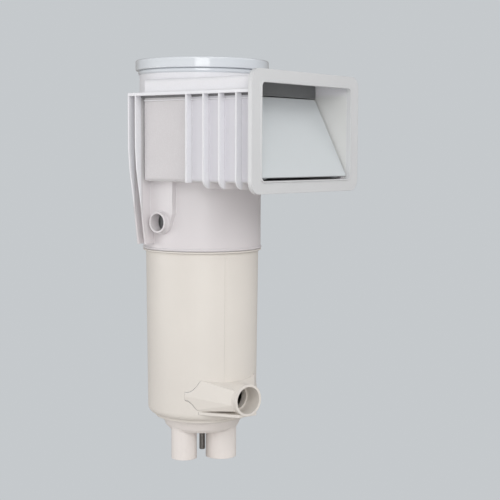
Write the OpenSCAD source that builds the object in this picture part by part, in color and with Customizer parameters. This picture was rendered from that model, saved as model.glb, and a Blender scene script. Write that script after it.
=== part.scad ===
// Swimming-pool weir skimmer for a built-in wall: a white housing with a wide ribbed throat, a spring-held
// weir flap and a strainer basket, on a cream sump with pipe sockets below and at the side.
// Frame: the well's axis is Z, the socket ends are at Z = 0, and the mouth faces -Y.

/* [Sump] */
// Height of the joint between sump and housing
joint_z = 400; // [360:5:440]
// Outer radius of the sump at the joint
sump_top_r = 106.5; // [105:0.5:107]
// Outer radius of the sump at its foot
sump_foot_r = 103.5; // [101:0.5:104]
// Height of the sump's foot edge
sump_foot_z = 85; // [80:1:90]
// Wall thickness of the round parts
wall = 4; // [3.5:0.5:4]

/* [Pipe sockets] */
// Outer diameter of the thin bottom pipe that goes in
small_pipe_d = 40; // [38:0.5:40]
// Outer diameter of the thick bottom pipe and of the side pipe
large_pipe_d = 50; // [48:0.5:50]
// How far a pipe goes into its socket
pipe_depth = 36; // [30:1:38]
// Turn of the side socket from the mouth's direction
side_turn = 15; // [0:1:25]
// Height of the side socket's axis
side_z = 129; // [127:1:134]
// Distance from the well's axis to the side socket's end
side_reach = 147; // [142:1:152]

/* [Housing] */
// Outer radius of the round well
well_r = 111; // [110.5:0.25:111.5]
// Half the outer width of the throat
throat_half = 140; // [136:0.5:142]
// Outer height of the throat's floor
floor_z = 528; // [520:1:532]
// Outer height of the throat's roof
roof_z = 710; // [705:1:714]
// Distance from the well's axis to the mouth's front face
mouth_reach = 243; // [238:1:250]
// How far the flat side walls run behind the well's axis
throat_back = 18; // [12:1:20]
// Thickness of the flat walls
sheet = 4; // [3.5:0.5:4]
// Half the width over the flange, ribs and fins
flange_half = 155; // [150:0.5:158]
// Height of the stiffening flange's underside
flange_z = 680.5; // [676:0.5:684]
// Thickness of the flange
flange_t = 5.5; // [4:0.5:6]
// Height of the bottom edge of the throat's ribs
rib_bottom_z = 517; // [514:1:521]
// Corner radius of the throat's ribs
rib_corner = 18; // [12:1:24]
// Thickness of ribs and fins
rib_t = 3.2; // [2.5:0.1:4]

/* [Mouth frame] */
// Outer width of the mouth frame
frame_w = 326; // [318:1:332]
// Outer height of the mouth frame
frame_h = 210; // [206:1:214]
// Width of the mouth's opening
mouth_w = 272; // [268:0.5:272]
// Height of the mouth's opening
mouth_h = 166; // [162:0.5:168]
// Thickness of the mouth frame
frame_t = 8; // [6:0.5:10]

/* [Deck ring and lid] */
// Outer radius of the deck ring
ring_r = 125; // [123:0.5:128]
// Height of the deck ring's rim
ring_h = 19; // [17:0.5:21]
// Radius of the deck lid
lid_r = 113; // [112:0.25:113.2]
// Thickness of the deck lid
lid_t = 7.5; // [6:0.5:8]

/* [Weir flap] */
// Length of the flap from its hinge
flap_l = 151; // [146:1:152]
// Width of the flap
flap_w = 264; // [256:1:264]
// Lean of the flap from upright when nothing pushes it
flap_lean = 27; // [20:1:30]

/* [Basket] */
// Radius of the basket's rim
basket_r = 102; // [100:0.5:102.5]
// Depth of the basket
basket_h = 150; // [120:5:160]
// Slots round the basket in each row
slots_round = 24; // [16:1:28]

/* [Hidden] */
$fn = 96;

eps = 0.01;
run = 0.05;             // radial running clearance of pins and stems
gap = 0.4;              // clearance between faces that slide past each other
well_in = well_r - wall;
neck_r = well_r + 6.5;
bead_gap = 1;           // dark line between the two beads of the joint
spigot_top = joint_z + 20;
top_z = roof_z + 21;    // top of the neck collar, where the deck ring rests
mouth_z = roof_z - 12 - mouth_h / 2;
frame_z = roof_z + 10 - frame_h / 2;
foot_round = 14;
base_r = 78;
base_top = 80;
base_low = 55;
base_low_r = 64;
base_chamfer = 6;       // height and width of the bevel round the base's underside
stud_r = 5.5;
stud_low = 9;
stud_bevel = 1;
small_at = [-44, 8];
large_at = [12, -37];
socket_wall = 4.2;
port_z = 453;
port_bore = 32;
port_r = port_bore / 2 + 3;
port_end = 128;
pad_x = 118;
hinge_y = -226;
hinge_z = 540;
flap_front = -10;       // the flap's outer face, in front of its hinge axis
flap_foot = -7.5;       // the flap's bottom edge, below its hinge axis
knuckle_x = 109;
pin_r = 3;
baffle_z = roof_z - sheet - 25;
baffle_y = -165;
seat_z = 504;
seal_in = 2.2;          // depth of the flange cord in the side wall, and how far it stands out
seal_out = 1.4;
seal_t = 4;
rib_y = [-131, -166, -203];
short_rib_y = -92.5;
fin_y = [27, 44];
skirt_h = 20;           // depth of the deck ring's skirt inside the neck
lid_z = top_z + ring_h - lid_t - 0.8;
well_clear = 103;
ear_x = 84;             // ears of the basket, from the well's axis
ear_z = seat_z + 13;
handle_rest = 8;        // angle of the folded handle above level
flap_t = 3;
valve_z = 44;

// ---- shared shapes ----

// A rectangle with round corners, centred on the origin
module round_rect(w, h, r) {
    square([w - 2 * r, h], center = true);
    square([w, h - 2 * r], center = true);
    for (x = [-1, 1], y = [-1, 1]) translate([x * (w / 2 - r), y * (h / 2 - r)]) circle(r);
}

// Stands a flat outline (x, z) up and gives it thickness along Y, from y0 towards +Y
module upright(y0, t) translate([0, y0 + t, 0]) rotate([90, 0, 0]) linear_extrude(t) children();

// A tube along Z
module tube(r_out, r_in, z0, z1)
    rotate_extrude() translate([r_in, z0]) square([r_out - r_in, z1 - z0]);

// Places a shape at the side socket: its own +Z points out of the socket, its +X is level
module at_side() translate([0, 0, side_z]) rotate([0, 0, -side_turn]) rotate([90, 0, 0]) children();

// Puts a shape made along the hinge axis, leaning with the flap
module at_hinge() translate([0, hinge_y, hinge_z]) rotate([-flap_lean, 0, 0]) children();

// ---- sump ----

module sump() color([0.93, 0.90, 0.86]) difference() {
    rotate_extrude() difference() {
        union() {
            polygon([[base_r - 8, sump_foot_z - 5], [sump_foot_r - foot_round, sump_foot_z - 5],
                [sump_foot_r - foot_round, sump_foot_z], [sump_foot_r, sump_foot_z + foot_round],
                [sump_top_r, joint_z - 8], [sump_top_r, joint_z], [well_in, joint_z], [well_in, spigot_top],
                [sump_top_r - wall, spigot_top],
                [sump_top_r - wall, joint_z - 8], [sump_foot_r - wall, sump_foot_z + foot_round],
                [sump_foot_r - foot_round - 1, sump_foot_z + wall], [base_r - 8, sump_foot_z + wall]]);
            // rounded foot edge
            intersection() {
                translate([sump_foot_r - foot_round, sump_foot_z + foot_round]) circle(foot_round);
                translate([sump_foot_r - foot_round, sump_foot_z]) square([foot_round, foot_round]);
            }
            // bead under the joint
            translate([sump_top_r - 1, joint_z - 4]) square([5, 4 - bead_gap / 2]);
            translate([sump_top_r + 4, joint_z - 2.2]) circle(1.6);
        }
        // groove of the joint seal
        translate([well_in - 1.9, joint_z + 9]) square([2 + eps, 3.4]);
        // inside of the foot edge
        translate([sump_foot_r - foot_round, sump_foot_z + foot_round]) circle(foot_round - wall);
    }
    at_side() cylinder(r = large_pipe_d / 2 - 3, h = side_reach);
}

// Stepped base under the sump, with one hole for each bottom socket and a boss for the flow plate
module sump_base() color([0.93, 0.90, 0.86]) difference() {
    union() {
        rotate_extrude() polygon([[0, base_low], [base_low_r, base_low],
            [base_low_r + base_chamfer, base_low + base_chamfer], [base_r - 2, base_top - 5],
            [base_r, base_top - 3], [base_r, base_top], [base_r - 8, base_top],
            [base_r - 8, sump_foot_z + wall], [0, sump_foot_z + wall]]);
        translate([0, 0, base_low]) cylinder(r = 6, h = 98 - base_low);
    }
    translate([small_at[0], small_at[1], 0]) cylinder(r = small_pipe_d / 2 + socket_wall, h = 140);
    translate([large_at[0], large_at[1], 0]) cylinder(r = large_pipe_d / 2 + socket_wall, h = 140);
    translate([0, 0, 86]) cylinder(r = 2, h = 20);
}

// Dark stud on the well's axis, below the base, bevelled at its tip
module anchor_stud() color([0.16, 0.16, 0.17]) {
    translate([0, 0, stud_low + stud_bevel]) cylinder(r = stud_r, h = base_low - stud_low - stud_bevel);
    translate([0, 0, stud_low]) cylinder(r1 = stud_r - stud_bevel, r2 = stud_r, h = stud_bevel);
}

// Pipe socket: full bore for the pipe below, a shoulder, then a narrower way up
module pipe_socket(at, pipe_d, top) {
    translate([at[0], at[1], 0]) rotate_extrude() difference() {
        translate([pipe_d / 2 - 3, 0]) square([socket_wall + 3, top]);
        translate([0, -eps]) square([pipe_d / 2, pipe_depth + eps]);
        polygon([[0, -eps], [pipe_d / 2 + 1.2, -eps], [pipe_d / 2, 1.2], [0, 1.2]]);
    }
}

module small_socket() color([0.93, 0.90, 0.87]) pipe_socket(small_at, small_pipe_d, sump_foot_z + wall);

module large_socket() color([0.93, 0.90, 0.87]) pipe_socket(large_at, large_pipe_d, sump_foot_z + wall);

// Side socket on a boss that flares out to the sump's wall, with a stiffening plate below
module side_socket() color([0.93, 0.90, 0.86]) {
    tube_r = large_pipe_d / 2 + 3.6;
    plate_z = side_z - tube_r;
    difference() {
        union() {
            at_side() cylinder(r = tube_r, h = side_reach);
            at_side() translate([0, 0, side_reach - 5]) cylinder(r = tube_r + 0.8, h = 5);
            rotate([0, 0, -side_turn]) {
                hull() {
                    upright(-63, 1) flare_section([79, 84, 78], [-24, 4, 40]);
                    upright(11 - side_reach, 1) flare_section([20, 27, 22], [-20, -8, 18]);
                }
                translate([0, 0, plate_z - 1.5]) linear_extrude(5)
                    polygon([[-78, -62], [-20, 2 - side_reach], [20, 2 - side_reach], [78, -62]]);
            }
        }
        translate([0, 0, -1]) cylinder(r = 60, h = 300);
        rotate_extrude() polygon([[0, sump_foot_z + foot_round], [sump_foot_r, sump_foot_z + foot_round],
            [sump_top_r, joint_z - 8], [0, joint_z - 8]]);
        translate([0, 0, sump_foot_z - 20]) cylinder(r = sump_foot_r, h = 20 + foot_round);
        at_side() translate([0, 0, side_reach - pipe_depth])
            cylinder(r = large_pipe_d / 2, h = pipe_depth + 1);
        at_side() cylinder(r = large_pipe_d / 2 - 3, h = side_reach);
    }
}

// Six-sided section of the boss: half widths, and heights over the socket's axis, from the bottom up
module flare_section(widths, heights) translate([0, side_z])
    polygon([[-widths[0], heights[0]], [-widths[1], heights[1]], [-widths[2], heights[2]],
        [widths[2], heights[2]], [widths[1], heights[1]], [widths[0], heights[0]]]);

module flow_plate() color([0.85, 0.86, 0.86]) difference() {
    union() {
        translate([0, 0, sump_foot_z + wall + gap]) cylinder(r = 76, h = 3);
        translate([0, 0, sump_foot_z + wall + gap]) cylinder(r = 11, h = 7);
        for (a = [0 : 90 : 270]) rotate([0, 0, a + 45])
            translate([12, -1, sump_foot_z + wall + gap + 2]) cube([60, 2, 5]);
    }
    cylinder(r = 6 + run, h = 140);
    translate([small_at[0], small_at[1], 80]) cylinder(r = small_pipe_d / 2 - 3, h = 30);
    translate([large_at[0], large_at[1], 80]) cylinder(r = large_pipe_d / 2 - 3, h = 30);
}

module flow_plate_screw() color([0.75, 0.76, 0.78]) difference() {
    union() {
        translate([0, 0, 86]) cylinder(r = 2, h = 13);
        translate([0, 0, 98]) cylinder(r = 8.5, h = 3);
    }
    translate([-6, -0.8, 99.5]) cube([12, 1.6, 3]);
}

// ---- check valve in the large socket ----

module at_valve() translate([large_at[0], large_at[1], valve_z]) children();

// Seat ring below, and a three-armed guide for the poppet's stem above
module valve_seat() color([0.80, 0.82, 0.83]) at_valve() {
    r = large_pipe_d / 2 - 3;
    rotate_extrude() polygon([[r - 6, 0], [r, 0], [r, 30], [r - 3, 30], [r - 3, 4], [r - 6, 4]]);
    difference() {
        translate([0, 0, 26]) union() {
            for (a = [0, 120, 240]) rotate([0, 0, a]) translate([0, -1.5, 0]) cube([r - 1.5, 3, 3.5]);
            cylinder(r = 5.5, h = 3.5);
        }
        translate([0, 0, 20]) cylinder(r = 2.5 + run, h = 20);
    }
}

module valve_poppet() color([0.25, 0.26, 0.28]) at_valve() {
    translate([0, 0, 4]) cylinder(r = large_pipe_d / 2 - 7.5, h = 3);
    translate([0, 0, 5]) cylinder(r = 2.5, h = 27);
}

module valve_spring() color([0.78, 0.78, 0.80]) at_valve()
    coil(4.4, 0.6, 7.2, 25.8, 10);

// Spring as a stack of touching rings, of the true outer size
module coil(ring_r, wire_r, z0, z1, turns) rotate_extrude() {
    step = (z1 - z0 - 2 * wire_r) / (turns - 1);
    for (i = [0 : turns - 1]) translate([ring_r, z0 + wire_r + i * step]) circle(wire_r);
    translate([ring_r - wire_r / 3, z0 + wire_r]) square([wire_r / 1.5, z1 - z0 - 2 * wire_r]);
}

// ---- housing ----

module upper_housing() color([0.90, 0.90, 0.91]) difference() {
    union() {
        translate([0, 0, joint_z]) cylinder(r = well_r, h = roof_z + 14 - joint_z);
        rotate_extrude() {
            translate([well_in + 1, joint_z + bead_gap / 2]) square([4, 4]);
            translate([well_r + 0.3, joint_z + 2.4]) circle(1.6);
            polygon([[well_r - 1, flange_z - 6], [neck_r, flange_z], [neck_r, roof_z + 14],
                [well_r - 1, roof_z + 14]]);
        }
        throat_shell();
        flange();
        groove_lip();
        for (y = rib_y) upright(y - rib_t / 2, rib_t) rib_outline();
        side_ribs(short_rib_y, floor_z - 1);
        for (y = fin_y) fins(y);
        overflow_pad();
    }
    // the well and the ledge above the sump's spigot
    rotate_extrude() polygon([[0, joint_z - 1], [well_in, joint_z - 1], [well_in, spigot_top],
        [well_in - 3.5, spigot_top], [well_in - 3.5, spigot_top + 4], [well_in, spigot_top + 7],
        [well_in, roof_z - 10], [lid_r - 0.6, roof_z - 4], [lid_r - 0.6, roof_z + 15], [0, roof_z + 15]]);
    throat_inside();
    for (side = [-1, 1]) flange_seal(side);
    translate([-pad_x - 1, 0, port_z]) rotate([0, 90, 0]) cylinder(r = port_r, h = 30);
}

// Outside of the throat and of the flat side walls that run on beside the well
module throat_shell() {
    outer_h = roof_z - floor_z;
    upright(frame_t - mouth_reach, mouth_reach - frame_t + throat_back)
        translate([0, floor_z + outer_h / 2]) round_rect(2 * throat_half, outer_h, 6);
}

// Section of the throat's inside
module throat_section() {
    inner_h = roof_z - floor_z - 2 * sheet;
    translate([0, floor_z + sheet + inner_h / 2]) round_rect(2 * (throat_half - sheet), inner_h, 4);
}

// Inside of the throat, open at the mouth and into the well
module throat_inside() {
    upright(-mouth_reach - 1, mouth_reach + 1 - 30) throat_section();
    translate([sheet - throat_half, -31, floor_z + sheet])
        cube([2 * (throat_half - sheet), 31 + throat_back - sheet, roof_z - floor_z - 2 * sheet]);
}

// Level flange along both sides, from the mouth frame to the rear fin
module flange() {
    back = fin_y[1] + rib_t / 2;
    difference() {
        translate([-flange_half, frame_t - mouth_reach, flange_z])
            cube([2 * flange_half, mouth_reach - frame_t + back, flange_t]);
        translate([0, 0, flange_z - 1]) cylinder(r = well_r - 1, h = flange_t + 2);
        translate([1 - throat_half, 1 - mouth_reach, flange_z - 1])
            cube([2 * throat_half - 2, mouth_reach - 1, flange_t + 2]);
    }
}

// Low lip below the flange, so that a channel runs between the two
module groove_lip() for (side = [-1, 1])
    translate([side * (throat_half + 0.5), (throat_back - mouth_reach + frame_t) / 2, flange_z - 8.5])
        cube([3, mouth_reach - frame_t + throat_back, 2], center = true);

// Soft cord in a groove of the side wall, right under the flange, from the mouth frame to the first fin
module flange_seal(side) color([0.16, 0.16, 0.17]) {
    low_x = side * throat_half - (side > 0 ? seal_in : seal_out);
    translate([low_x, frame_t - mouth_reach, flange_z - seal_t])
        cube([seal_in + seal_out, mouth_reach - frame_t + fin_y[0] - rib_t / 2, seal_t]);
}

module flange_seal_left() flange_seal(-1);

module flange_seal_right() flange_seal(1);

// Outline of a rib that goes round the throat's sides and floor
module rib_outline() {
    h = flange_z + 1 - rib_bottom_z;
    difference() {
        union() {
            translate([0, rib_bottom_z + h / 2]) round_rect(2 * flange_half, h, rib_corner);
            translate([-flange_half, flange_z + 1 - 2 * rib_corner])
                square([2 * flange_half, 2 * rib_corner]);
        }
        translate([1 - throat_half, floor_z + 1]) square([2 * throat_half - 2, flange_z - floor_z + 1]);
    }
}

// A pair of plain ribs on the side walls
module side_ribs(y, low_z) for (side = [-1, 1])
    translate([side * (throat_half + flange_half - 1) / 2, y, (low_z + flange_z) / 2 + 0.5])
        cube([flange_half - throat_half + 1, rib_t, flange_z - low_z + 1], center = true);

// Tall fins behind the side walls, tapering down to the joint
module fins(y) upright(y - rib_t / 2, rib_t) for (side = [0, 1]) mirror([side, 0])
    polygon([[96, joint_z + 12], [131, joint_z + 12], [143, joint_z + 96], [152, joint_z + 150],
        [flange_half, joint_z + 190], [flange_half, flange_z + 1], [96, flange_z + 1]]);

// Raised pad on one side, round at its foot, that carries the overflow socket
module overflow_pad() translate([-pad_x, 0, 0]) rotate([90, 0, 90]) linear_extrude(30) {
    translate([0, port_z]) circle(port_r + 3);
    polygon([[-28, floor_z + 2], [-28, port_z + 16], [-21, port_z - 6], [21, port_z - 6],
        [27, port_z + 16], [27, floor_z + 2]]);
}

module neck_collar() color([0.93, 0.94, 0.95]) rotate_extrude()
    polygon([[lid_r - 0.2, roof_z + 14], [well_r + 8, roof_z + 14], [well_r + 9, roof_z + 15.5],
        [well_r + 9, top_z - 1.5], [well_r + 7, top_z], [lid_r - 0.2, top_z]]);

module overflow_socket() color([0.90, 0.90, 0.91]) translate([0, 0, port_z]) rotate([0, -90, 0])
    difference() {
        union() {
            translate([0, 0, 104]) cylinder(r = port_r, h = port_end - 104);
            translate([0, 0, pad_x]) cylinder(r = port_r + 1, h = 2);
        }
        translate([0, 0, 90]) cylinder(r = port_bore / 2, h = 50);
        rotate([0, 90, 0]) cylinder(r = well_in, h = 60, center = true);
    }

module joint_seal() color([0.12, 0.12, 0.13]) rotate_extrude()
    translate([well_in - 1.7, joint_z + 10.7]) circle(1.65);

module mouth_frame() color([0.89, 0.90, 0.90]) difference() {
    union() {
        upright(-mouth_reach, frame_t) difference() {
            translate([0, frame_z]) round_rect(frame_w, frame_h, 22);
            translate([0, mouth_z]) round_rect(mouth_w, mouth_h, 8);
        }
        // raised lip round the opening
        upright(-mouth_reach - 1.6, 2) difference() {
            translate([0, mouth_z]) round_rect(mouth_w + 5, mouth_h + 5, 10.5);
            translate([0, mouth_z]) round_rect(mouth_w, mouth_h, 8);
        }
    }
    // shallow rebate that leaves a rim round the frame's back
    upright(frame_t - mouth_reach - 3, 4) difference() {
        translate([0, frame_z]) round_rect(frame_w - 8, frame_h - 8, 18);
        translate([0, (floor_z + roof_z) / 2]) round_rect(2 * throat_half, roof_z - floor_z, 6);
    }
}

// ---- deck ring and lid ----

module deck_ring() color([0.94, 0.95, 0.96]) rotate_extrude() difference() {
    union() {
        translate([well_clear + 2, top_z]) square([ring_r - well_clear - 5, ring_h]);
        translate([well_clear + 2, top_z + 2]) square([ring_r - well_clear - 2, ring_h - 5]);
        translate([ring_r - 3, top_z + ring_h - 3]) circle(3);
        translate([ring_r - 2, top_z + 2]) circle(2);
        translate([lid_r - 4.6, top_z - skirt_h]) square([3.6, skirt_h + 1]);
    }
    translate([0, lid_z]) square([lid_r + 0.5, ring_h]);
}

// Round lid, dished on top between two raised rings, with two finger holes
module deck_lid() color([0.95, 0.96, 0.97]) difference() {
    rotate_extrude() {
        translate([0, lid_z]) square([lid_r, lid_t - 2]);
        translate([lid_r - 12, lid_z]) square([12, lid_t]);
        translate([60, lid_z]) square([4, lid_t - 0.5]);
        translate([0, lid_z]) square([18, lid_t - 0.5]);
    }
    for (side = [-1, 1]) translate([side * 82, 0, lid_z - 1]) cylinder(r = 9, h = lid_t + 2);
}

// ---- basket ----

module basket_seat() color([0.88, 0.88, 0.89]) rotate_extrude()
    polygon([[well_in - 10, seat_z - 3], [well_in - 10, seat_z], [well_in, seat_z],
        [well_in, seat_z - 10]]);

module basket() color([0.93, 0.94, 0.95]) {
    body_r = well_in - 12;
    low_r = body_r - 8;
    low_z = seat_z - basket_h;
    difference() {
        rotate_extrude() polygon([[0, low_z], [low_r, low_z], [body_r, seat_z], [basket_r, seat_z],
            [basket_r, seat_z + 4], [body_r - 3, seat_z + 4], [low_r - 2.5, low_z + 3], [0, low_z + 3]]);
        for (a = [0 : slots_round - 1], row = [0 : 2])
            rotate([0, 0, (a + 0.5) * 360 / slots_round])
                translate([low_r - 10, -2.5, low_z + 14 + row * 44]) cube([30, 5, 36]);
        for (x = [-6 : 6]) bottom_slot(x * 12, low_r - 12);
    }
    // ears that carry the handle
    for (side = [-1, 1]) ear(side);
}

// Slot across the basket's floor, cut to the floor's round edge
module bottom_slot(x, r) {
    half = sqrt(max(r * r - x * x, 0));
    translate([x - 2, -half, seat_z - basket_h - 1]) cube([4, 2 * half, 5]);
}

module ear(side) difference() {
    union() {
        translate([side * ear_x - 2, -7, seat_z - 12]) cube([4, 14, 25]);
        translate([side * ear_x, 0, ear_z]) rotate([0, 90, 0]) cylinder(r = 7, h = 4, center = true);
        translate([side * (ear_x + 4.5) - 5.5, -7, seat_z - 12]) cube([11, 14, 6]);
    }
    translate([side * ear_x, 0, ear_z]) rotate([0, 90, 0]) cylinder(r = 2.5 + run, h = 20, center = true);
}

// Puts a shape made in the handle's own plane where the handle lies at rest, on the basket's back half
module at_handle() translate([0, 0, ear_z]) rotate([handle_rest - 90, 0, 0]) children();

// Bail handle, folded down on the basket, with pins that turn in the ears
module basket_handle() color([0.93, 0.94, 0.95]) at_handle() {
    r = ear_x - 8;
    rotate([90, 0, 0]) rotate_extrude(angle = 180) translate([r, 0]) circle(3.2);
    for (side = [-1, 1]) {
        translate([side * (r + 6), 0, 0]) rotate([0, 90, 0]) cylinder(r = 2.5, h = 14, center = true);
        translate([side * r, 0, 0]) sphere(3.2);
    }
}

module basket_handle_grip() color([0.35, 0.45, 0.60]) at_handle()
    rotate([90, 0, 0]) rotate([0, 0, 72]) rotate_extrude(angle = 36) difference() {
        translate([ear_x - 8, 0]) circle(6);
        translate([ear_x - 8, 0]) circle(3.2);
    }

// ---- weir ----

// Flat door in front of its hinge axis, with two hinge knuckles and ribs on its inner face
module weir_flap() color([0.80, 0.83, 0.85]) at_hinge() difference() {
    back = flap_front + flap_t;
    union() {
        upright(flap_front, flap_t) translate([0, (flap_l + flap_foot) / 2])
            round_rect(flap_w, flap_l - flap_foot, 4);
        for (x = [-94, -47, 0, 47, 94]) translate([x - 1, back - 0.5, 0]) cube([2, 5.5, 96]);
        translate([3 - flap_w / 2, back - 0.5, 94]) cube([flap_w - 6, 4.5, 2.5]);
        for (side = [-1, 1]) translate([side * knuckle_x, 0, 0]) {
            rotate([0, 90, 0]) cylinder(r = 5.8, h = 12, center = true);
            translate([-6, back - 0.5, -4]) cube([12, 1 - back, 8]);
        }
    }
    for (side = [-1, 1]) translate([side * knuckle_x, 0, 0]) rotate([0, 90, 0])
        cylinder(r = pin_r, h = 30, center = true);
}

// Foam block that makes the flap float up
module weir_float() color([0.75, 0.77, 0.78]) at_hinge()
    translate([-118, flap_front + flap_t, 101]) cube([236, 14, 36]);

// Soft strip along the flap's top edge
module weir_seal() color([0.55, 0.57, 0.58]) at_hinge()
    translate([-flap_w / 2, flap_front + flap_t, flap_l - 8]) cube([flap_w, 2, 9]);

// Dark strip across the throat's roof, just above the resting flap's top edge
module weir_baffle() color([0.30, 0.31, 0.32]) upright(baffle_y, 3) intersection() {
    throat_section();
    translate([-throat_half, baffle_z]) square([2 * throat_half, roof_z - baffle_z]);
}

module hinge_pin(side) color([0.75, 0.76, 0.78]) translate([side * 118.5, hinge_y, hinge_z])
    rotate([0, 90, 0]) cylinder(r = pin_r, h = 31, center = true);

module hinge_pin_left() hinge_pin(-1);

module hinge_pin_right() hinge_pin(1);

// Bracket on the throat's side wall that holds one hinge pin
module hinge_bracket(side) color([0.86, 0.87, 0.87]) intersection() {
    wide = throat_half - sheet - 126;
    low = floor_z + sheet;
    difference() {
        union() {
            translate([side * (126 + wide / 2), hinge_y, (hinge_z + low) / 2])
                cube([wide, 10, hinge_z - low], center = true);
            translate([side * (126 + wide / 2), hinge_y, hinge_z]) rotate([0, 90, 0])
                cylinder(r = 6.3, h = wide, center = true);
        }
        translate([side * 130, hinge_y, hinge_z]) rotate([0, 90, 0])
            cylinder(r = pin_r + run, h = 30, center = true);
    }
    upright(hinge_y - 8, 16) throat_section();
}

module hinge_bracket_left() hinge_bracket(-1);

module hinge_bracket_right() hinge_bracket(1);

// Torsion spring round one hinge pin, with a leg that rests on the throat's floor
module weir_spring(side) color([0.78, 0.78, 0.80]) {
    translate([side * 120.6, hinge_y, hinge_z]) rotate([0, 90, 0]) coil(4.3, 0.7, -4.4, 4.4, 7);
    translate([side * 124.3, hinge_y, hinge_z - 4.3]) rotate([-90, 0, 0]) cylinder(r = 0.7, h = 22);
}

module weir_spring_left() weir_spring(-1);

module weir_spring_right() weir_spring(1);

sump();
sump_base();
small_socket();
large_socket();
side_socket();
upper_housing();
neck_collar();
overflow_socket();
joint_seal();
flange_seal_left();
flange_seal_right();
anchor_stud();
mouth_frame();
deck_ring();
deck_lid();
basket_seat();
basket();
basket_handle();
basket_handle_grip();
weir_flap();
weir_float();
weir_seal();
weir_baffle();
hinge_pin_left();
hinge_pin_right();
hinge_bracket_left();
hinge_bracket_right();
weir_spring_left();
weir_spring_right();
flow_plate();
flow_plate_screw();
valve_seat();
valve_poppet();
valve_spring();
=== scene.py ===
"""Looks of the pool weir skimmer: a white ribbed housing on a cream sump, in soft studio light.

Every CAD node gets its finished material. The pieces that the CAD only stands in for, or leaves out,
are built here: wound springs, the soft float, weld beads, the sump's mould seams and the lid's grip bars.

Lengths are in metres in the CAD frame: the well's axis is Z, the socket ends are at Z = 0, and the mouth
faces -Y. A direction is an azimuth and an elevation in degrees: azimuth 0 is the mouth's side, 90 is +X.
"""

import math

import bmesh
import bpy
from mathutils import Matrix, Vector
from mathutils.noise import noise as simplex


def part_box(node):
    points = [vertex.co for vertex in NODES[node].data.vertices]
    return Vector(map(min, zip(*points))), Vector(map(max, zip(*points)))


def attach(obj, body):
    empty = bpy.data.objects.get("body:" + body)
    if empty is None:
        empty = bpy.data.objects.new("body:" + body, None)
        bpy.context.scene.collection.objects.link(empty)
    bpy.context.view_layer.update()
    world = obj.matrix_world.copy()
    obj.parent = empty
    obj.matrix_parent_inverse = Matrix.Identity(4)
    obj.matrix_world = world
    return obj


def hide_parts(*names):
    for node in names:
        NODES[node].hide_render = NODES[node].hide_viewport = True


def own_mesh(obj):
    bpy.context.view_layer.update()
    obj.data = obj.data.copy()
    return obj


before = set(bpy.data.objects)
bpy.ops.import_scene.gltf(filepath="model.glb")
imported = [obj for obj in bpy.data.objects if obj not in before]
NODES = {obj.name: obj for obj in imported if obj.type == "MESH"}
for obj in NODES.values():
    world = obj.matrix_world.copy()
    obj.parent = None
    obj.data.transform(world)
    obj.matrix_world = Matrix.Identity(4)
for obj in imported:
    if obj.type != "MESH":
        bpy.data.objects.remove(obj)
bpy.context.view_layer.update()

MM = 0.001
UP = Vector((0, 0, 1))


def direction(azimuth, elevation=0.0):
    """Unit vector that points away from the object."""
    a, e = math.radians(azimuth), math.radians(elevation)
    return Vector((math.sin(a) * math.cos(e), -math.cos(a) * math.cos(e), math.sin(e)))


def add_object(name, data):
    """A new object in the scene."""
    made = bpy.data.objects.new(name, data)
    bpy.context.collection.objects.link(made)
    return made


def aim(obj, towards, roll=0.0):
    """Turns a camera or lamp so that it looks back along a direction, rolled by some degrees."""
    spin = Matrix.Rotation(math.radians(roll), 3, "Z").to_quaternion()
    obj.rotation_mode = "QUATERNION"
    obj.rotation_quaternion = towards.to_track_quat("Z", "Y") @ spin


# ---- camera ----

CAMERA_AZIMUTH = -52.4
CAMERA_DISTANCE = 2.197     # level distance from the well's axis
CAMERA_SIDE = 0.091         # how far the camera stands to the right of that line
CAMERA_HEIGHT = 0.582
CAMERA_PITCH = 4.87         # degrees below level
CAMERA_ROLL = 0.23          # degrees
CAMERA_LENS = 83.3          # millimetres
CAMERA_SENSOR = 36          # millimetres
CAMERA_CLIP = (0.05, 60)


def make_camera():
    """The camera at the photograph's viewing angle."""
    back = direction(CAMERA_AZIMUTH)
    right = direction(CAMERA_AZIMUTH + 90)
    data = bpy.data.cameras.new("camera")
    data.lens = CAMERA_LENS
    data.sensor_width = CAMERA_SENSOR
    data.clip_start, data.clip_end = CAMERA_CLIP
    camera = add_object("camera", data)
    aim(camera, direction(CAMERA_AZIMUTH, CAMERA_PITCH), CAMERA_ROLL)
    camera.location = back * CAMERA_DISTANCE + right * CAMERA_SIDE + UP * CAMERA_HEIGHT
    bpy.context.scene.camera = camera


# ---- shader helpers ----

def node(tree, kind, **values):
    """Adds a shader node and sets its sockets by name."""
    made = tree.nodes.new(kind)
    for key, value in values.items():
        made.inputs[key.replace("_", " ")].default_value = value
    return made


def noise(tree, coords, scale, detail, rough=0.5):
    """A noise texture in object space."""
    made = node(tree, "ShaderNodeTexNoise", Scale=scale, Detail=detail, Roughness=rough)
    tree.links.new(coords, made.inputs["Vector"])
    return made.outputs["Fac"]


def ramp(tree, source, low, high, bottom, top):
    """Maps a value from low..high to bottom..top."""
    made = node(tree, "ShaderNodeMapRange", From_Min=low, From_Max=high, To_Min=bottom, To_Max=top)
    tree.links.new(source, made.inputs["Value"])
    return made.outputs["Result"]


def calculate(tree, operation, *values):
    """A maths node on one or two sockets."""
    made = tree.nodes.new("ShaderNodeMath")
    made.operation = operation
    for value, socket in zip(values, made.inputs):
        tree.links.new(value, socket)
    return made.outputs["Value"]


def blend_colour(tree, factor, first, second):
    """Mixes two colours, each a tuple or a socket."""
    made = tree.nodes.new("ShaderNodeMix")
    made.data_type = "RGBA"
    tree.links.new(factor, made.inputs["Factor"])
    for socket, value in ((made.inputs["A"], first), (made.inputs["B"], second)):
        if isinstance(value, tuple):
            socket.default_value = (*value, 1)
        else:
            tree.links.new(value, socket)
    return made.outputs["Result"]


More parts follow.
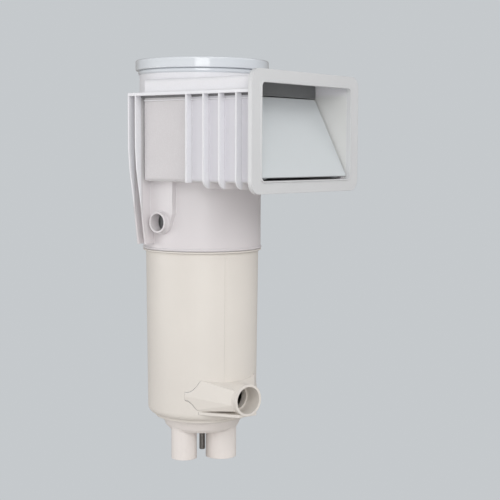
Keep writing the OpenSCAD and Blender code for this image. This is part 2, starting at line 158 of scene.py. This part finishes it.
def split_rays(tree, light, view, surface):
    """Shows one shader to the camera and another to all other rays."""
    path = tree.nodes.new("ShaderNodeLightPath")
    mix = tree.nodes.new("ShaderNodeMixShader")
    tree.links.new(path.outputs["Is Camera Ray"], mix.inputs["Fac"])
    tree.links.new(light, mix.inputs[1])
    tree.links.new(view, mix.inputs[2])
    tree.links.new(mix.outputs["Shader"], surface)


def scaled(colour, share):
    """A colour with all its channels taken down alike."""
    return tuple(c * share for c in colour)


# ---- stage and light ----

BACKDROP = (0.56, 0.585, 0.605)         # what the camera sees of the floor and beyond it
FLOOR_BOUNCE = (0.72, 0.70, 0.68)       # how the floor reflects the light
ROOM_LIGHT = (0.97, 0.985, 1.0)
ROOM_STRENGTH = 0.44

LIGHT_DISTANCE = 3.2
LIGHT_TARGET = UP * 0.4                 # about the middle of the object
SOFTBOXES = (                           # name, azimuth, elevation, width and height, power in watts
    ("key_softbox", -50, 7, (1.3, 1.5), 21),
    ("right_softbox", -22, 29, (1.5, 1.3), 21),
    ("left_bank", -132, 1.5, (2.4, 0.75), 21),
    ("left_softbox", -68, 29, (1.5, 1.3), 15),
    ("mouth_softbox", 38, 35, (1.5, 1.5), 12),
)


def softbox(name, azimuth, elevation, size, power):
    """A rectangular area light that faces the object."""
    data = bpy.data.lights.new(name, "AREA")
    data.shape = "RECTANGLE"
    data.size, data.size_y = size
    data.energy = power
    lamp = add_object(name, data)
    towards = direction(azimuth, elevation)
    aim(lamp, towards)
    lamp.location = LIGHT_TARGET + towards * LIGHT_DISTANCE


def make_floor():
    """A pale floor that curves up into a plain backdrop, square to the camera."""
    reach, rise, bend, steps = 9.0, 6.0, 2.5, 16
    outline = [(-reach, 0.0), (reach - bend, 0.0)]
    for i in range(1, steps + 1):
        t = math.pi / 2 * i / steps
        outline.append((reach - bend + bend * math.sin(t), bend - bend * math.cos(t)))
    outline.append((reach, rise))
    away = -direction(CAMERA_AZIMUTH)
    across = direction(CAMERA_AZIMUTH + 90)
    bm = bmesh.new()
    left, right = [
        [bm.verts.new(away * distance + across * side + UP * height) for distance, height in outline]
        for side in (-reach, reach)
    ]
    for i in range(len(outline) - 1):
        bm.faces.new((left[i], right[i], right[i + 1], left[i + 1]))
    for face in bm.faces:
        face.smooth = True
    mesh = bpy.data.meshes.new("floor")
    bm.to_mesh(mesh)
    bm.free()
    mesh.materials.append(floor_material())
    floor = add_object("floor", mesh)


def floor_material():
    """Even pale paper: it shows plain to the eye, and throws a slightly warm light back under the object."""
    mat = bpy.data.materials.new("backdrop_paper")
    mat.use_nodes = True
    tree = mat.node_tree
    tree.nodes.clear()
    out = tree.nodes.new("ShaderNodeOutputMaterial")
    matt = node(tree, "ShaderNodeBsdfDiffuse", Color=(*FLOOR_BOUNCE, 1))
    glow = node(tree, "ShaderNodeEmission", Color=(*BACKDROP, 1))
    split_rays(tree, matt.outputs["BSDF"], glow.outputs["Emission"], out.inputs["Surface"])
    return mat


def studio_world():
    """Soft light from all round; where the floor ends, the eye sees the backdrop's colour instead."""
    world = bpy.data.worlds.new("studio")
    world.use_nodes = True
    tree = world.node_tree
    room = tree.nodes["Background"]
    room.inputs["Color"].default_value = (*ROOM_LIGHT, 1)
    room.inputs["Strength"].default_value = ROOM_STRENGTH
    backdrop = node(tree, "ShaderNodeBackground", Color=(*BACKDROP, 1))
    out = tree.nodes["World Output"]
    split_rays(tree, room.outputs["Background"], backdrop.outputs["Background"], out.inputs["Surface"])
    return world


def make_stage():
    """The floor, the room's soft light and the softboxes."""
    make_floor()
    bpy.context.scene.world = studio_world()
    for settings in SOFTBOXES:
        softbox(*settings)


# ---- materials ----

# A scale is a number of noise cells per metre. A shade is what is left of the colour in the darker spots.
CLOUD_SCALE = 9
CLOUD_SHADE = 0.965
SPECK_SCALE = 420
SPECK_SHADE = 0.95
SCUFF_SCALE = 60
WAVE_SCALE = 22
WAVE_DEPTH = 0.4 * MM
SKIN_SCALE = 700
SKIN_DEPTH = 0.12 * MM

EDGE_RADIUS = 1.2 * MM
EDGE_SAMPLES = 4
RUBBED_WHITE = 0.95         # the white that a rubbed edge turns to
RUBBED_SHARE = 0.4          # and how far it goes that way

PLASTIC_IOR = 1.5
COAT_ROUGHNESS = 0.06

STREAK_SCALE = 900
STREAK_SHADE = 0.8
SHEEN_SCALE = 300


def shaded(name):
    """A new material, with its node tree, its surface shader and its object coordinates."""
    mat = bpy.data.materials.new(name)
    mat.use_nodes = True
    tree = mat.node_tree
    coords = tree.nodes.new("ShaderNodeTexCoord").outputs["Object"]
    return mat, tree, tree.nodes["Principled BSDF"], coords


def zone_mask(tree, coords, zones):
    """1 where all the zones meet, fading to 0 outside them; X counts from the middle, on both sides alike."""
    split = tree.nodes.new("ShaderNodeSeparateXYZ")
    tree.links.new(coords, split.inputs["Vector"])
    mask = None
    for axis, start, end in zones:
        place = split.outputs[axis]
        if axis == "X":
            place = calculate(tree, "ABSOLUTE", place)
        share = ramp(tree, place, start, end, 0, 1)
        mask = share if mask is None else calculate(tree, "MULTIPLY", mask, share)
    return mask


def clouded(tree, coords, colour, zone_colours):
    """The plastic's colour: slightly cloudy, coloured by zones (on the housing some zones are painted shade
    and one is painted light), and finely specked.
    """
    clouds = ramp(tree, noise(tree, coords, CLOUD_SCALE, 3), 0.3, 0.7, 0, 1)
    specks = ramp(tree, noise(tree, coords, SPECK_SCALE, 2), 0.45, 0.75, 0, 0.35)
    base = blend_colour(tree, clouds, colour, scaled(colour, CLOUD_SHADE))
    for zone_colour, zones in zone_colours:
        base = blend_colour(tree, zone_mask(tree, coords, zones), base, zone_colour)
    return blend_colour(tree, specks, base, scaled(colour, SPECK_SHADE))


def rubbed(tree, base, colour, rounded):
    """Lightens the colour at edges, where the rounded normal leaves the true one."""
    edge = tuple(c + (RUBBED_WHITE - c) * RUBBED_SHARE for c in colour)
    geometry = tree.nodes.new("ShaderNodeNewGeometry")
    match = tree.nodes.new("ShaderNodeVectorMath")
    match.operation = "DOT_PRODUCT"
    tree.links.new(rounded, match.inputs[0])
    tree.links.new(geometry.outputs["Normal"], match.inputs[1])
    wear = ramp(tree, match.outputs["Value"], 0.995, 0.86, 0, 0.75)
    return blend_colour(tree, wear, base, edge)


def skinned(tree, coords, rounded, grain):
    """The surface normal: rounded edges, slow waves and a fine grain."""
    waves = node(tree, "ShaderNodeBump", Strength=0.5, Distance=WAVE_DEPTH)
    tree.links.new(noise(tree, coords, WAVE_SCALE, 2), waves.inputs["Height"])
    tree.links.new(rounded, waves.inputs["Normal"])
    skin = node(tree, "ShaderNodeBump", Strength=0.35, Distance=grain)
    tree.links.new(noise(tree, coords, SKIN_SCALE, 3), skin.inputs["Height"])
    tree.links.new(waves.outputs["Normal"], skin.inputs["Normal"])
    return skin.outputs["Normal"]


def moulded(name, colour, rough, zone_colours=(), grain=SKIN_DEPTH, coat=0.0):
    """Injection-moulded plastic or rubber, with scuffs and soft, slightly rubbed edges.

    Each zone colour is a colour and the zones it fills: (axis, start, end), where it fades in from start to
    end.
    A zone colour shows where all of its zones meet, and a later one covers the earlier ones; some are painted
    shade and painted light.
    """
    mat, tree, shader, coords = shaded(name)
    bevel = node(tree, "ShaderNodeBevel", Radius=EDGE_RADIUS)
    bevel.samples = EDGE_SAMPLES
    rounded = bevel.outputs["Normal"]
    base = rubbed(tree, clouded(tree, coords, colour, zone_colours), colour, rounded)
    scuffs = noise(tree, coords, SCUFF_SCALE, 6, 0.65)
    tree.links.new(base, shader.inputs["Base Color"])
    tree.links.new(ramp(tree, scuffs, 0.35, 0.75, rough - 0.05, rough + 0.09), shader.inputs["Roughness"])
    tree.links.new(skinned(tree, coords, rounded, grain), shader.inputs["Normal"])
    shader.inputs["IOR"].default_value = PLASTIC_IOR
    shader.inputs["Coat Weight"].default_value = coat
    shader.inputs["Coat Roughness"].default_value = COAT_ROUGHNESS
    return mat


def metal(name, colour, rough):
    """Bare steel with a finely mottled colour and sheen."""
    mat, tree, shader, coords = shaded(name)
    streaks = ramp(tree, noise(tree, coords, STREAK_SCALE, 2), 0.3, 0.7, 0, 1)
    base = blend_colour(tree, streaks, colour, scaled(colour, STREAK_SHADE))
    sheen = ramp(tree, noise(tree, coords, SHEEN_SCALE, 4), 0.3, 0.7, rough - 0.08, rough + 0.1)
    tree.links.new(base, shader.inputs["Base Color"])
    tree.links.new(sheen, shader.inputs["Roughness"])
    shader.inputs["Metallic"].default_value = 1.0
    return mat


# Zones of the housing: the axis, and where the zone starts to fade in and where it is full
DOWN_THE_WELL = ("Z", 0.66, 0.40)
BELOW_FLANGE = ("Z", 0.682, 0.679)
ABOVE_FLANGE = ("Z", 0.682, 0.690)
ABOVE_THROAT_FLOOR = ("Z", 0.520, 0.530)
THROAT_FACE = ("X", 0.134, 0.1355)      # the throat's inner side faces and all beyond
WALL_FACE = ("X", 0.137, 0.1395)        # the housing's outer side faces and all beyond
PROUD_OF_WALL = ("X", 0.1405, 0.1425)
BEHIND_RIBS = ("Y", -0.096, -0.091)

# Colours of the housing by zone. The well and neck differ in tone; the darker throat inside, walls between
# the ribs and side panels are painted shade, and the lighter ribs, fins and flange are painted light.
HOUSING_TONES_AND_PAINTED_SHADE = (
    ((0.72, 0.68, 0.69), (DOWN_THE_WELL,)),                             # well, warmer lower down
    ((0.70, 0.705, 0.69), (THROAT_FACE, ABOVE_THROAT_FLOOR)),           # inside of the throat, darker: painted shade
    ((0.77, 0.765, 0.79), (ABOVE_FLANGE,)),                             # neck
    ((0.70, 0.69, 0.73), (WALL_FACE, BELOW_FLANGE)),                    # walls between the ribs, darker: painted shade
    ((0.60, 0.575, 0.585), (WALL_FACE, BEHIND_RIBS, BELOW_FLANGE)),     # plain side panels, darker still: painted shade
    ((0.80, 0.80, 0.83), (PROUD_OF_WALL,)),                             # ribs, fins and flange, lighter: painted light
)

HOUSING = moulded("housing_plastic", (0.735, 0.72, 0.735), 0.42, zone_colours=HOUSING_TONES_AND_PAINTED_SHADE)
SUMP = moulded("sump_plastic", (0.77, 0.727, 0.675), 0.40)
SOCKET = moulded("socket_plastic", (0.84, 0.79, 0.76), 0.42)
RING = moulded("ring_plastic", (0.70, 0.73, 0.765), 0.16, coat=0.6)
LID = moulded("lid_plastic", (0.70, 0.725, 0.75), 0.40)
FRAME = moulded("frame_plastic", (0.668, 0.672, 0.68), 0.38)
FLAP = moulded("flap_plastic", (0.63, 0.662, 0.677), 0.34)
BASKET = moulded("basket_plastic", (0.78, 0.80, 0.81), 0.45)
GRIP = moulded("grip_plastic", (0.12, 0.22, 0.40), 0.5)
FOAM = moulded("foam", (0.50, 0.51, 0.52), 0.8, grain=0.6 * MM)
RUBBER = moulded("seal_rubber", (0.035, 0.035, 0.037), 0.6)
# Dark cord laid in the groove under the flange; its dark colour is painted shade under the flange.
SHADE_CORD = moulded("cord_rubber", (0.18, 0.18, 0.185), 0.6)
# Dark rubber for the weir seal, and for the baffle, whose dark face is painted shade for the unlit well
# beyond the flap.
SEAL_AND_SHADE_RUBBER = moulded("baffle_rubber", (0.17, 0.176, 0.18), 0.65)
VALVE = moulded("valve_plastic", (0.10, 0.11, 0.12), 0.45)
STEEL = metal("steel", (0.62, 0.62, 0.63), 0.28)
# Darker steel for the stud between the bottom sockets: a real stud, darkened as painted shade for the gap
# between the sockets.
STUD_STEEL_AND_SHADE = metal("stud_steel", (0.33, 0.32, 0.31), 0.5)

# Each material, and the CAD nodes that wear it
DRESS = (
    (HOUSING, ("upper_housing", "overflow_socket", "hinge_bracket_left", "hinge_bracket_right")),
    (SUMP, ("sump", "side_socket")),
    (SOCKET, ("sump_base", "small_socket", "large_socket")),
    (RING, ("neck_collar", "deck_ring")),
    (LID, ("deck_lid",)),
    (FRAME, ("mouth_frame",)),
    (FLAP, ("weir_flap",)),
    (BASKET, ("basket", "basket_handle", "basket_seat", "flow_plate")),
    (GRIP, ("basket_handle_grip",)),
    (FOAM, ("weir_float",)),
    (RUBBER, ("joint_seal", "valve_poppet")),
    # the dark cords under the flange are painted shade
    (SHADE_CORD, ("flange_seal_left", "flange_seal_right")),
    # the dark baffle is painted shade for the unlit well beyond the flap
    (SEAL_AND_SHADE_RUBBER, ("weir_seal", "weir_baffle")),
    (VALVE, ("valve_seat",)),
    (STEEL, ("hinge_pin_left", "hinge_pin_right", "weir_spring_left", "weir_spring_right")),
    (STEEL, ("flow_plate_screw", "valve_spring")),
    # the stud's dark steel is partly painted shade for the gap between the sockets
    (STUD_STEEL_AND_SHADE, ("anchor_stud",)),
)


def dress_nodes():
    """Gives every CAD node its finished material."""
    for material, names in DRESS:
        for name in names:
            slots = NODES[name].data.materials
            slots.clear()
            slots.append(material)


# ---- pieces ----

HINGE = Vector((0, -0.226, 0.540))          # the weir's hinge axis runs along X through here
FLAP_LEAN = math.radians(27)                # how far the resting flap leans back from upright
VALVE_X, VALVE_Y = 0.012, -0.037            # the check valve's axis runs along Z through here
BASE_FLAT_R = 0.064                         # radius where the bevel round the base's underside starts
PAD_FACE_X = -0.1183                        # just outside the pad that the overflow port's flange lies on
COLLAR_R, COLLAR_LOW = 0.1178, 0.7236       # just below the edge where the neck collar meets the neck
SEAM_AZIMUTH = -27                          # one mould seam; the other is opposite to it
COIL_STEPS = 24                             # points in one turn of a coil


def middle(name):
    """Centre of a CAD node's box."""
    low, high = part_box(name)
    return (Vector(low) + Vector(high)) / 2


def piece_from(name, bm, material, body):
    """Turns a finished bmesh into a smooth piece that rides on a body."""
    bmesh.ops.recalc_face_normals(bm, faces=bm.faces)
    for face in bm.faces:
        face.smooth = True
    mesh = bpy.data.meshes.new(name)
    bm.to_mesh(mesh)
    bm.free()
    mesh.materials.append(material)
    piece = add_object(name, mesh)
    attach(piece, body)
    return piece


def sweep(bm, path, radii, closed=False, sides=10):
    """A round bar along a path, with one radius for each point of it."""
    last = len(path) - 1
    rings, side = [], None
    for i, point in enumerate(path):
        ahead = path[0] if closed and i == last else path[min(i + 1, last)]
        behind = path[i - 1] if closed or i > 0 else point
        along = (ahead - behind).normalized()
        side = along.orthogonal() if side is None else side
        side = (side - along * side.dot(along)).normalized()
        up = along.cross(side)
        ring = []
        for k in range(sides):
            t = 2 * math.pi * k / sides
            ring.append(bm.verts.new(point + (side * math.cos(t) + up * math.sin(t)) * radii[i]))
        rings.append(ring)
    for i in range(len(rings) if closed else last):
        first, second = rings[i], rings[(i + 1) % len(rings)]
        for k in range(sides):
            n = (k + 1) % sides
            bm.faces.new((first[k], first[n], second[n], second[k]))
    if not closed:
        bm.faces.new(rings[0][::-1])
        bm.faces.new(rings[-1])


def noise_at(point):
    """Smooth unevenness from 0 to 1, the same on every run."""
    return 0.5 + 0.5 * simplex(point)


def uneven(path, size, spread, scale):
    """A radius for each point of a path: the given size, off by up to the given share of it."""
    return [size * (1 - spread + 2 * spread * noise_at(point * scale)) for point in path]


def at_hinge():
    """Frame of the resting flap: its origin on the hinge axis, its +Z up along the flap."""
    return Matrix.Translation(HINGE) @ Matrix.Rotation(-FLAP_LEAN, 4, "X")


def torsion_spring(side_name, side):
    """Close-wound spring round one hinge pin, whose leg lies back over the throat's floor.

    The side is -1 on the left and 1 on the right.
    """
    coil_r, wire_r = 4.3 * MM, 0.7 * MM
    half_width, turns = 3.7 * MM, 5.25
    leg = 22 * MM
    stand_in = "weir_spring_" + side_name
    centre = Vector((middle(stand_in).x, HINGE.y, HINGE.z))
    path = []
    for i in range(int(turns * COIL_STEPS) + 1):
        share = i / (turns * COIL_STEPS)
        turn = 2 * math.pi * turns * (share - 1)
        across = side * (2 * share - 1) * half_width
        path.append(centre + Vector((across, coil_r * math.sin(turn), -coil_r * math.cos(turn))))
    path.append(path[-1] + Vector((0, leg, 0)))
    bm = bmesh.new()
    sweep(bm, path, [wire_r] * len(path), sides=12)
    spring = piece_from("wound_" + side_name, bm, STEEL, "casing")
    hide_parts(stand_in)


def valve_coil():
    """Open spring that presses the check valve down, with flat end turns."""
    coil_r, wire_r = 4.4 * MM, 0.6 * MM
    low, high = 51.8 * MM, 69.2 * MM
    turns, end_turns = 8, 2
    path = []
    for i in range(turns * COIL_STEPS + 1):
        turn = 2 * math.pi * i / COIL_STEPS
        rise = min(max(i / COIL_STEPS - end_turns / 2, 0) / (turns - end_turns), 1)
        path.append(Vector((VALVE_X + coil_r * math.cos(turn), VALVE_Y + coil_r * math.sin(turn),
                            low + (high - low) * rise)))
    bm = bmesh.new()
    sweep(bm, path, [wire_r] * len(path))
    spring = piece_from("valve_coil", bm, STEEL, "casing")
    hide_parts("valve_spring")
    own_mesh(spring)


def foam_float():
    """Closed-cell foam block behind the flap, with soft edges and a lightly dimpled skin."""
    size = Vector((0.236, 0.014, 0.036))
    centre = Vector((0, 0, 0.119))          # in the flap's own frame
    edge = 3.5 * MM
    dimple, dimple_scale = 0.012, 60
    bm = bmesh.new()
    bmesh.ops.create_cube(bm, size=1, matrix=Matrix.Diagonal((*size, 1)))
    bmesh.ops.bevel(bm, geom=bm.edges[:], offset=edge, segments=5, profile=0.5, affect="EDGES")
    long_edges = [e for e in bm.edges if e.calc_length() > 4 * edge]
    bmesh.ops.subdivide_edges(bm, edges=long_edges, cuts=40, use_grid_fill=True)
    for v in bm.verts:
        v.co *= 1 - dimple * noise_at(v.co * dimple_scale)
    bmesh.ops.transform(bm, matrix=at_hinge() @ Matrix.Translation(centre), verts=bm.verts)
    block = piece_from("foam_float", bm, FOAM, "weir")
    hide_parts("weir_float")


def weld_bead(name, point_at, size, material):
    """Squeezed-out weld round a joint, a little uneven; point_at gives its centre line for a turn."""
    steps = 120
    path = [point_at(2 * math.pi * i / steps) for i in range(steps)]
    bm = bmesh.new()
    sweep(bm, path, uneven(path, size, spread=0.2, scale=90), closed=True, sides=8)
    piece_from(name, bm, material, "casing")


def socket_weld(name, socket):
    """Weld where a bottom socket goes up into the base; it climbs where the base is bevelled."""
    low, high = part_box(socket)
    radius = (high[0] - low[0]) / 2 + 0.4 * MM
    centre = middle(socket)
    base_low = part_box("sump_base")[0][2]

    def point_at(turn):
        spot = centre + Vector((math.cos(turn), math.sin(turn), 0)) * radius
        spot.z = base_low + max(0.0, spot.xy.length - BASE_FLAT_R)
        return spot

    weld_bead(name, point_at, 1.3 * MM, SOCKET)


def collar_weld():
    """Weld between the neck collar and the neck."""
    def point_at(turn):
        return Vector((COLLAR_R * math.cos(turn), COLLAR_R * math.sin(turn), COLLAR_LOW))

    weld_bead("collar_weld", point_at, 0.9 * MM, RING)


def port_weld():
    """Weld round the overflow port's flange, on the housing's side pad."""
    low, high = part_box("overflow_socket")
    radius = (high[1] - low[1]) / 2 + 0.2 * MM
    centre = middle("overflow_socket")
    centre.x = PAD_FACE_X

    def point_at(turn):
        return centre + Vector((0, math.cos(turn), math.sin(turn))) * radius

    weld_bead("port_weld", point_at, 0.9 * MM, HOUSING)


def mould_seams():
    """Fine raised lines down the sump where the two halves of its mould met."""
    low, high = 0.104, 0.389
    foot_r, top_r = 0.1035, 0.1065          # the sump's radius at those heights
    width, steps = 0.55 * MM, 24
    bm = bmesh.new()
    for azimuth in (SEAM_AZIMUTH, SEAM_AZIMUTH + 180):
        out = direction(azimuth)
        foot = out * foot_r + UP * low
        top = out * top_r + UP * high
        path = [foot.lerp(top, i / steps) for i in range(steps + 1)]
        sweep(bm, path, uneven(path, width, spread=0.15, scale=120), sides=8)
    piece_from("mould_seams", bm, SUMP, "casing")


def lid_grips():
    """Raised bars between the lid's two rings, left out beside the finger holes."""
    inner, outer, height = 0.068, 0.096, 0.7474
    count = 36
    hole_reach = 0.016                      # the finger holes lie on the X axis
    tip_r, bar_r = 0.7 * MM, 1.2 * MM
    profile = ((0, tip_r), (0.03, bar_r), (0.97, bar_r), (1, tip_r))    # share of the length, radius
    bm = bmesh.new()
    for i in range(count):
        turn = 2 * math.pi * i / count
        out = Vector((math.cos(turn), math.sin(turn), 0))
        if abs(out.y) * (inner + outer) / 2 < hole_reach:
            continue
        path = [(out * inner).lerp(out * outer, share) + UP * height for share, radius in profile]
        sweep(bm, path, [radius for share, radius in profile], sides=12)
    piece_from("lid_grips", bm, LID, "lid")


def add_pieces():
    """Everything that the CAD frame leaves to this script."""
    torsion_spring("left", -1)
    torsion_spring("right", 1)
    valve_coil()
    foam_float()
    socket_weld("small_weld", "small_socket")
    socket_weld("large_weld", "large_socket")
    collar_weld()
    port_weld()
    mould_seams()
    lid_grips()


make_camera()
make_stage()
dress_nodes()
add_pieces()
bpy.context.scene.view_settings.view_transform = "Standard"
